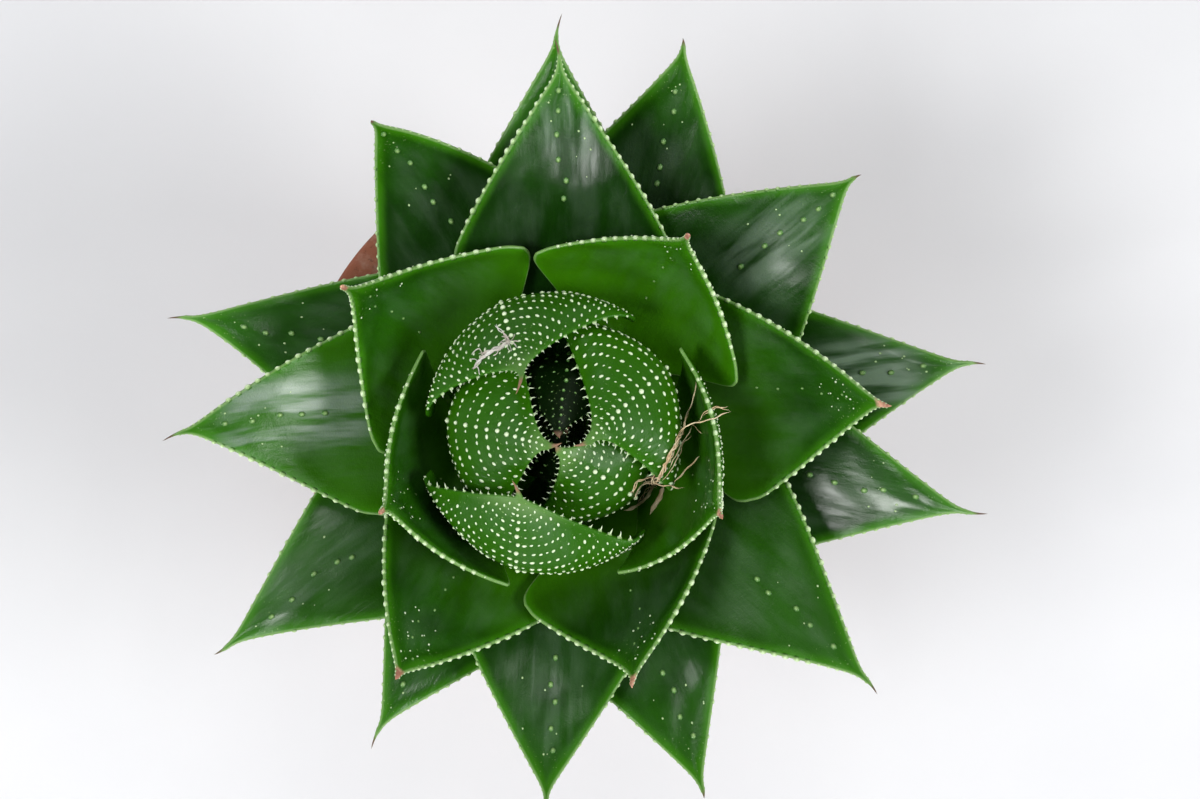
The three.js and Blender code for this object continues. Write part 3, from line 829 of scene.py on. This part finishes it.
leaf_skin = leaf_finish("leaf_skin", 0.34, 0.75)
bud_skin = leaf_finish("bud_skin", 0.2, 0.05)
leaves = [Leaf(index, *row) for index, row in enumerate(LEAVES)]
for leaf in leaves:
    points, faces, edge, spread = blade(leaf)
    skin = bud_skin if leaf.in_bud else leaf_skin
    leaf_blade = mesh_piece(leaf.number + "_blade", points, faces, [skin])
    number = leaf.index + 1
    # Each leaf's painted light and shade, and its painted sheen, carried to its skin
    painted_light = np.tile([PAINTED_LEAF_LIGHTING.get(number, 0.0), *PAINTED_SHEEN.get(number, (0.0, 0.0))], (len(points), 1))
    for name, values in (("edge", edge), ("spread", spread), ("painted_light", painted_light)):
        layer = leaf_blade.data.attributes.new(name, "FLOAT_VECTOR", "POINT")
        layer.data.foreach_set("vector", values.ravel())
    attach(leaf_blade, "root")
    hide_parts(leaf.number)

# The teeth and warts: white horn that grows out of the green skin. Soft teeth stand in a row
# along each margin, and warts lie on the back in arcs round the tip, largest along the keel.
TOOTH_PITCH = 2.3
TOOTH_PITCH_AT_TIP = 0.8
TOOTH_SINK = 0.25
TOOTH_SIDES = 6
TOOTH_RINGS = (0, 0.35, 0.7)
TOOTH_FADE = 11
PITCH_EASE = 14
SIZE_EASE = 13
LEAST_AT_TIP = 0.3
LEAST_TOOTH = 0.12
SPIKE = {"height": 1.75, "long": 0.26, "broad": 0.21, "blunt": 0.85}
BEAD = {"height": 0.62, "long": 0.86, "broad": 0.56, "blunt": 0.6}
BUD_BEAD = {"height": 0.55, "long": 0.6, "broad": 0.42, "blunt": 0.5}
BEAD_INSET = 0.2
OUTER_BEAD = 0.72
FIRST_ARC = 0.9
ARC_EASE = 11
WART_EASE = 9
ARC_STEP = 2.25
ARC_STEP_AT_TIP = 1.05
WART_PITCH = 1.38
WART_PITCH_AT_TIP = 0.85
HEART_PITCH = 1.5
HEART_WART = 0.8
WART_LONG = 0.42
WART_BROAD = 0.23
KEEL_WART = 0.46
PIP_PITCH = 5
PIP_HALF = 0.5
MIDDLE_PIP = 1.5
UPRIGHT_PIP = 0.8
PIP_ROW = 6
WARTED_SHARE = 0.62
WARTS_FROM = 0.3
WART_CLEAR_OF_RIM = 0.5
PIP_CLEAR_OF_RIM = 1.6
HORN_WHITE = (0.75, 0.9, 0.6, 1)
HORN_PALE = (0.34, 0.52, 0.2, 1)
HORN_GREEN = (0.05, 0.17, 0.02, 1)
WHITE_HORN = (0.7, 0.2, 0, 0)
RIM_HORN = (1, 0.75, 0.35, 0)
DULL_HORN = (1, 0.85, 0.5, 0.2)
PIP_HORN = (1, 1, 0.85, 0.55)
UP = np.array([0, 0, 1])
dice = np.random.default_rng(28)

horn, at = new_finish("horn")
greenness = at.node("Attribute", {"attribute_name": "greenness"}, {}, 2)
cloudy = at.grain(0.5, 2)
colour = (greenness + 0.3 * cloudy - 0.15).rise(0, 0.6).between(HORN_WHITE, HORN_PALE)
finished(
    at,
    cloudy,
    0.04,
    Base_Color=greenness.rise(0.5, 1).between(colour, HORN_GREEN),
    Roughness=0.28 + 0.12 * cloudy,
    Subsurface_Weight=0.15,
    Subsurface_Radius=(0.8, 1.0, 0.5),
    Subsurface_Scale=0.0008,
)


def stations(curve, pitch_at):
    """Shares along a curve of points, set one pitch apart, where the pitch follows what is left."""
    steps = np.linalg.norm(np.diff(curve, axis=0), axis=1)
    travelled = np.concatenate([[0], np.cumsum(steps)])
    places, here = [], 0.0
    while here < travelled[-1]:
        places.append(here)
        here += pitch_at(travelled[-1] - here)
    return np.interp(places, travelled, np.linspace(0, 1, len(curve)))


def cone(root, tipward, outward, upward, long, broad, height, blunt, greens, bend=0.0):
    """A closed tooth or wart: oval rings that draw in to a point, bent towards the leaf's tip.
    greens tells how green each ring and the point is: 0 is white horn, 1 the green of the skin."""
    angles = np.arange(TOOTH_SIDES) * 2 * math.pi / TOOTH_SIDES
    oval = long * np.outer(np.cos(angles), tipward) + broad * np.outer(np.sin(angles), outward)
    rings = []
    for t in TOOTH_RINGS:
        middle = root + upward * height * t + tipward * bend * t * t
        rings.append(middle + (1 - t**2) ** blunt * oval)
    rings.append([root + upward * height + tipward * bend])
    faces = [tuple(range(TOOTH_SIDES))[::-1]]
    top = len(TOOTH_RINGS) * TOOTH_SIDES
    for i in range(TOOTH_SIDES):
        j = (i + 1) % TOOTH_SIDES
        for row in range(0, top - TOOTH_SIDES, TOOTH_SIDES):
            faces.append((row + i, row + j, row + TOOTH_SIDES + j, row + TOOTH_SIDES + i))
        faces.append((top - TOOTH_SIDES + i, top - TOOTH_SIDES + j, top))
    return np.concatenate(rings), faces, np.repeat(greens, [TOOTH_SIDES] * len(TOOTH_RINGS) + [1])


def teeth_of(leaf):
    """The teeth of both margins: beads on the rim, with a thin bent spike on each in the bud."""
    span = leaf.blade_end + 0.2 * (1 - leaf.blade_end) - leaf.widest
    made = []
    for side in (1, -1):
        curve = leaf.place(leaf.widest + span * np.linspace(0, 1, 300), side, 0)
        shares = stations(curve, lambda left: between(TOOTH_PITCH_AT_TIP, TOOTH_PITCH, left / PITCH_EASE))
        for share in shares:
            v = leaf.widest + span * share
            grown = smooth((v - leaf.widest) * leaf.length / TOOTH_FADE + 0.1) * dice.uniform(0.8, 1.15)
            near = between(LEAST_AT_TIP, 1, (1 - share) * span * leaf.length / SIZE_EASE)
            if grown < LEAST_TOOTH:
                continue
            here, ahead = leaf.place([v, v + 0.004], side, 0)
            within = leaf.place([v], side * 0.9, 0)[0]
            tipward = unit(ahead - here)
            outward = unit(here - within)
            outward = unit(outward - tipward * np.dot(outward, tipward))
            upward = unit(np.cross(tipward, outward)) * side * -1
            if leaf.in_bud:
                teeth = [(BUD_BEAD, 0.45 * outward - 0.9 * upward, WHITE_HORN, 0.12)]
                teeth.append((SPIKE, outward + 0.25 * upward, WHITE_HORN, dice.uniform(0.2, 0.55)))
            else:
                outer = leaf.index <= FIRST_UPRIGHT - 3
                near *= OUTER_BEAD if outer else 1
                here = here - BEAD_INSET * near * outward
                way = 0.6 * outward + 0.3 * upward + 0.5 * UP
                teeth = [(BEAD, way, DULL_HORN if outer else RIM_HORN, 0.1)]
            for form, way, greens, bend in teeth:
                way = unit(way - tipward * np.dot(way, tipward))
                height = form["height"] * grown * near
                oval = form["long"] * near * grown**0.5, form["broad"] * near * grown**0.5
                depth = unit(np.cross(way, tipward))
                root = here - way * TOOTH_SINK * near
                size = *oval, height + TOOTH_SINK * near
                made.append(cone(root, tipward, depth, way, *size, form["blunt"], greens, bend * height))
    return made


def warts_of(leaf):
    """The warts of the back: short bars in arcs round the tip, and a round one on the keel in each."""
    spots = []
    in_heart = leaf.index > LAST - 2
    radius = FIRST_ARC
    while radius < leaf.length * WARTED_SHARE:
        pitch = between(WART_PITCH_AT_TIP, WART_PITCH, radius / WART_EASE)
        pitch *= HEART_PITCH if in_heart else 1
        size = between(0.55, 1, radius / WART_EASE)
        count = int(radius / pitch)
        spots.append((radius, dice.normal(0, 0.08), size * dice.uniform(0.8, 1.2), True))
        for side in (1, -1):
            along = pitch * dice.uniform(0.75, 1.05)
            for _ in range(count):
                w = side * radius * math.sin(along / radius)
                back = math.sqrt(radius**2 - w**2) + dice.normal(0, 0.08)
                spots.append((back, w, size * dice.uniform(0.6, 1.25), False))
                along += pitch * dice.uniform(0.8, 1.25)
                if along / radius > 0.5 * math.pi:
                    break
        radius += between(ARC_STEP_AT_TIP, ARC_STEP, radius / ARC_EASE)
    made = []
    for back, w, size, on_keel in spots:
        v, half = leaf.share_and_half(back)
        if abs(w) > half - WART_CLEAR_OF_RIM or v < WARTS_FROM:
            continue
        here, tipward, sideways, outward = leaf.skin(v, w / half, False)
        round_tip = unit(sideways * back - tipward * w)
        long, broad, high = (KEEL_WART, KEEL_WART, 0.6) if on_keel else (WART_LONG, WART_BROAD, 0.3)
        across_it = np.cross(outward, round_tip)
        root = here - outward * 0.06
        size *= HEART_WART if in_heart else 1
        form = long * size, broad * size, high * size, 0.5, PIP_HORN if in_heart else WHITE_HORN
        made.append(cone(root, round_tip, across_it, outward, *form))
    return made


def pips_of(leaf):
    """The few raised pips of an upper face: a row along its middle, small white ones round them."""
    outer = leaf.index <= FIRST_UPRIGHT
    spots = []
    for k in range(PIP_ROW):
        size = MIDDLE_PIP if outer else UPRIGHT_PIP
        spots.append((5 + PIP_PITCH * k + dice.normal(0, 0.6), dice.normal(0.3, 0.6), size, PIP_HORN))
    for _ in range(9 if outer else 20):
        back = dice.uniform(2.5, 26 if outer else 18)
        greens = DULL_HORN if outer else WHITE_HORN
        spots.append((back, dice.uniform(-0.36, 0.36) * back, dice.uniform(0.35, 0.65), greens))
    made = []
    for back, w, size, greens in spots:
        v, half = leaf.share_and_half(back)
        if abs(w) > half - PIP_CLEAR_OF_RIM:
            continue
        here, tipward, _, outward = leaf.skin(v, w / half, True)
        half_pip = PIP_HALF * size
        root = here - outward * 0.08
        form = half_pip, 0.75 * half_pip, 0.6 * half_pip, 0.5, greens
        made.append(cone(root, tipward, np.cross(outward, tipward), outward, *form))
    return made


for leaf in leaves:
    grown = teeth_of(leaf) + warts_of(leaf) + ([] if leaf.in_bud else pips_of(leaf))
    points, faces = joined([(cone_points, cone_faces) for cone_points, cone_faces, _ in grown])
    leaf_horn = mesh_piece(leaf.number + "_teeth", points, faces, [horn])
    layer = leaf_horn.data.attributes.new("greenness", "FLOAT", "POINT")
    layer.data.foreach_set("value", np.concatenate([greens for _, _, greens in grown]))
    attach(leaf_horn, "root")

# The dry litter in the heart: a frayed wisp of thin tan threads, tangled in a knot, and a torn
# white skin on one bud leaf. Each thread lies on the leaves and spans the gaps between them.
STRAND_SIDES = 6
STRAND_RINGS = 44
WISP_KNOT = (18.0, -12.4)
WISP_KNOT_SIZE = 0.85
WISP = (  # threads, their half width, half thickness and straying in mm, then the way they run, in mm
    (1, 0.13, 0.1, 0.08, ((25.7, 6.0), (25.6, 3.4), (24.4, 0.4), (23.5, -2.2))),
    (2, 0.12, 0.1, 0.16, ((24.3, 0.2), (23.5, -2.2), (22.3, -5.1), (20.9, -6.9), (18.8, -11.9))),
    (3, 0.13, 0.11, 0.28, ((23.2, -3.0), (21.5, -6.0), (20.0, -8.8), (19.2, -10.7), (18.1, -12.2))),
    (2, 0.11, 0.1, 0.22, ((22.4, -5.0), (21.0, -7.4), (19.8, -10.0), (18.4, -12.4))),
    (1, 0.12, 0.1, 0.08, ((22.4, -3.4), (23.5, -2.2), (25.1, -1.5), (27.9, -1.0), (31.6, 0.6))),
    (1, 0.09, 0.08, 0.12, ((31.5, 0.6), (30.1, 1.3), (28.4, 1.3), (27.0, 0.4), (25.9, -1.3))),
    (1, 0.08, 0.07, 0.12, ((31.2, 1.5), (29.3, 1.1), (27.9, 0.8), (26.8, -0.4))),
    (1, 0.09, 0.08, 0.12, ((25.1, -2.0), (24.0, -4.1), (22.6, -5.8), (21.9, -7.6), (20.6, -9.6))),
    (1, 0.08, 0.07, 0.14, ((24.9, -3.6), (23.4, -5.2), (22.4, -7.9), (20.4, -10.8), (19.5, -11.9))),
    (1, 0.08, 0.07, 0.08, ((24.6, -1.7), (25.9, -2.4), (26.9, -3.6))),
    (2, 0.09, 0.08, 0.14, ((17.6, -12.3), (19.4, -12.5), (21.6, -12.9), (23.4, -13.2))),
    (2, 0.1, 0.08, 0.2, ((18.6, -11.6), (16.9, -11.2), (15.5, -11.7), (14.6, -12.9), (14.0, -14.2))),
    (2, 0.09, 0.08, 0.2, ((17.9, -12.3), (16.6, -12.2), (15.6, -12.9), (15.1, -14.1), (14.9, -15.4))),
    (1, 0.34, 0.08, 0.1, ((18.6, -12.8), (17.9, -14.3), (16.9, -15.8), (15.2, -17.3), (13.0, -18.0))),
    (2, 0.1, 0.09, 0.2, ((18.2, -12.6), (17.0, -14.4), (16.2, -15.6), (15.4, -16.4))),
    (1, 0.5, 0.1, 0.06, ((20.3, -13.4), (19.5, -15.2), (18.5, -17.2), (17.6, -18.6))),
    (1, 0.16, 0.1, 0.06, ((26.4, -7.5), (23.6, -10.2), (21.6, -12.2))),
)
SKIN_KNOT = (-7.4, 12.7)
SKIN_KNOT_SIZE = 0.45
TORN_SKIN = (
    (2, 0.22, 0.08, 0.16,
     ((-7.2, 12.9), (-9.2, 11.4), (-10.6, 10.9), (-11.7, 10.3), (-12.9, 9.0), (-13.7, 7.9))),
    (2, 0.18, 0.08, 0.16, ((-7.8, 12.3), (-9.8, 11.5), (-11.4, 10.9), (-12.6, 10.5))),
    (2, 0.11, 0.08, 0.14, ((-7.4, 12.8), (-8.2, 14.0), (-9.1, 14.9), (-9.8, 15.8))),
    (1, 0.1, 0.08, 0.12, ((-14.0, 10.6), (-13.5, 11.3), (-12.7, 11.5), (-12.1, 10.9), (-11.6, 10.4))),
    (1, 0.1, 0.08, 0.12, ((-13.7, 8.0), (-13.0, 8.4), (-12.5, 7.8), (-12.3, 7.0))),
    (1, 0.08, 0.07, 0.1, ((-12.7, 9.3), (-13.3, 9.9), (-14.2, 9.7))),
    (1, 0.1, 0.08, 0.12, ((-7.6, 12.5), (-6.4, 12.9), (-5.4, 12.5))),
    (1, 0.09, 0.08, 0.12, ((-9.3, 11.4), (-9.4, 10.5), (-10.0, 10.1))),
)
STIFFNESS = 0.5
FRAY_COUNT = 14
FRAY_REACH = 1.8
STRAW = (0.7, 0.49, 0.26, 1)
STRAW_PALE = (0.84, 0.7, 0.47, 1)
STRAW_BROWN = (0.36, 0.17, 0.1, 1)
PAPER_WHITE = (0.7, 0.7, 0.64, 1)
PAPER_ROSE = (0.46, 0.38, 0.32, 1)


def litter_finish(name, pale, deep, worn):
    material, at = new_finish(name)
    fibre = at.stretched(1, 1, 0.5).grain(0.35, 3)
    tone = at.grain(2.6, 3).rise(0.35, 0.65)
    colour = (0.8 * tone).between(pale, deep)
    colour = (0.4 * at.grain(1.3, 3).rise(0.55, 0.68)).between(colour, worn)
    finished(at, fibre, 0.08, Base_Color=colour, Roughness=0.6 + 0.2 * fibre)
    return material


leaf_points, leaf_faces = joined([blade(leaf)[:2] for leaf in leaves])
leaf_tops = BVHTree.FromPolygons(leaf_points.tolist(), leaf_faces)


def top_of_leaves(x, y):
    hit = leaf_tops.ray_cast(Vector((x, y, 2 * PLANT_BASE)), Vector((0, 0, -1)))[0]
    return hit.z


def laid(travelled, heights):
    """The heights of a stiff thread over those points: it rests on the high ones, spans the gaps
    between them and never falls off steeply at its ends."""
    kept = []
    for point in zip(travelled, heights):
        while len(kept) > 1:
            (s0, z0), (s1, z1) = kept[-2:]
            if (z1 - z0) * (point[0] - s0) > (point[1] - z0) * (s1 - s0):
                break
            kept.pop()
        kept.append(point)
    lying = np.interp(travelled, *zip(*kept))
    peak = np.argmax(lying)
    return np.maximum(lying, lying[peak] - STIFFNESS * np.abs(travelled - travelled[peak]))


def strand(half_width, half_thick, curl, route):
    """A closed thread or strip along a route seen from above, pointed at its ends and a bit curly."""
    way = np.array(route, float)
    for _ in range(3):
        cut = np.stack([0.75 * way[:-1] + 0.25 * way[1:], 0.25 * way[:-1] + 0.75 * way[1:]], 1)
        way = np.concatenate([way[:1], cut.reshape(-1, 2), way[-1:]])
    travelled = np.concatenate([[0], np.cumsum(np.linalg.norm(np.diff(way, axis=0), axis=1))])
    s = np.linspace(0, travelled[-1], STRAND_RINGS)
    phase = dice.uniform(0, 2 * math.pi, 3)
    x = np.interp(s, travelled, way[:, 0]) + curl * np.sin(1.9 * s + phase[0])
    y = np.interp(s, travelled, way[:, 1]) + curl * np.sin(2.3 * s + phase[1])
    z = laid(s, [top_of_leaves(*place) + half_thick for place in zip(x, y)])
    middle = np.stack([x, y, z + curl * (1 + np.sin(1.4 * s + phase[2]))], 1)
    along = unit(np.gradient(middle, axis=0))
    side = unit(np.cross(along, UP))
    above = np.cross(side, along)
    share = s / s[-1]
    full = np.clip(np.minimum(share, 1 - share) * 7, 0.12, 1) * (1 + 0.15 * np.sin(3.1 * s + phase[1]))
    lean = 0.5 * np.sin(0.8 * s + phase[2])
    points = []
    for a in np.arange(STRAND_SIDES) * 2 * math.pi / STRAND_SIDES:
        u, w = half_width * full * math.cos(a), half_thick * full * math.sin(a)
        across, up = u * np.cos(lean) - w * np.sin(lean), u * np.sin(lean) + w * np.cos(lean)
        points.append(middle + across[:, None] * side + up[:, None] * above)
    points = np.stack(points, 1).reshape(-1, 3)
    faces = [tuple(range(STRAND_SIDES)), tuple(range(len(points) - STRAND_SIDES, len(points)))[::-1]]
    for row in range(0, len(points) - STRAND_SIDES, STRAND_SIDES):
        for i in range(STRAND_SIDES):
            j = (i + 1) % STRAND_SIDES
            faces.append((row + j, row + i, row + STRAND_SIDES + i, row + STRAND_SIDES + j))
    return points, faces


def fray(centre, count, reach):
    """Short fine curls that stand round a knot."""
    curls = []
    for _ in range(count):
        angle = dice.uniform(0, 2 * math.pi)
        bend = angle + dice.uniform(-1.2, 1.2)
        first = np.array(centre) + reach * 0.4 * np.array([math.cos(angle), math.sin(angle)])
        second = first + reach * 0.6 * np.array([math.cos(bend), math.sin(bend)])
        curls.append(strand(0.06, 0.06, 0.16, (centre, first, second)))
    return curls


straw = litter_finish("straw", STRAW_PALE, STRAW, STRAW_BROWN)
paper = litter_finish("torn_skin", PAPER_WHITE, PAPER_ROSE, PAPER_WHITE)
litter = (
    ("dry_wisp", WISP, WISP_KNOT, WISP_KNOT_SIZE, straw),
    ("torn_skin", TORN_SKIN, SKIN_KNOT, SKIN_KNOT_SIZE, paper),
)
for name, routes, knot, knot_size, finish in litter:
    strands = [strand(*size, route) for threads, *size, route in routes for _ in range(threads)]
    strands += fray(knot, FRAY_COUNT, FRAY_REACH)
    ball = knot[0], knot[1], top_of_leaves(*knot) + 0.3 * knot_size
    strands += [lump(ball, knot_size), lump(ball, 0.75 * knot_size)]
    wisp = mesh_piece(name, *joined(strands), [finish])
    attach(wisp, "root")
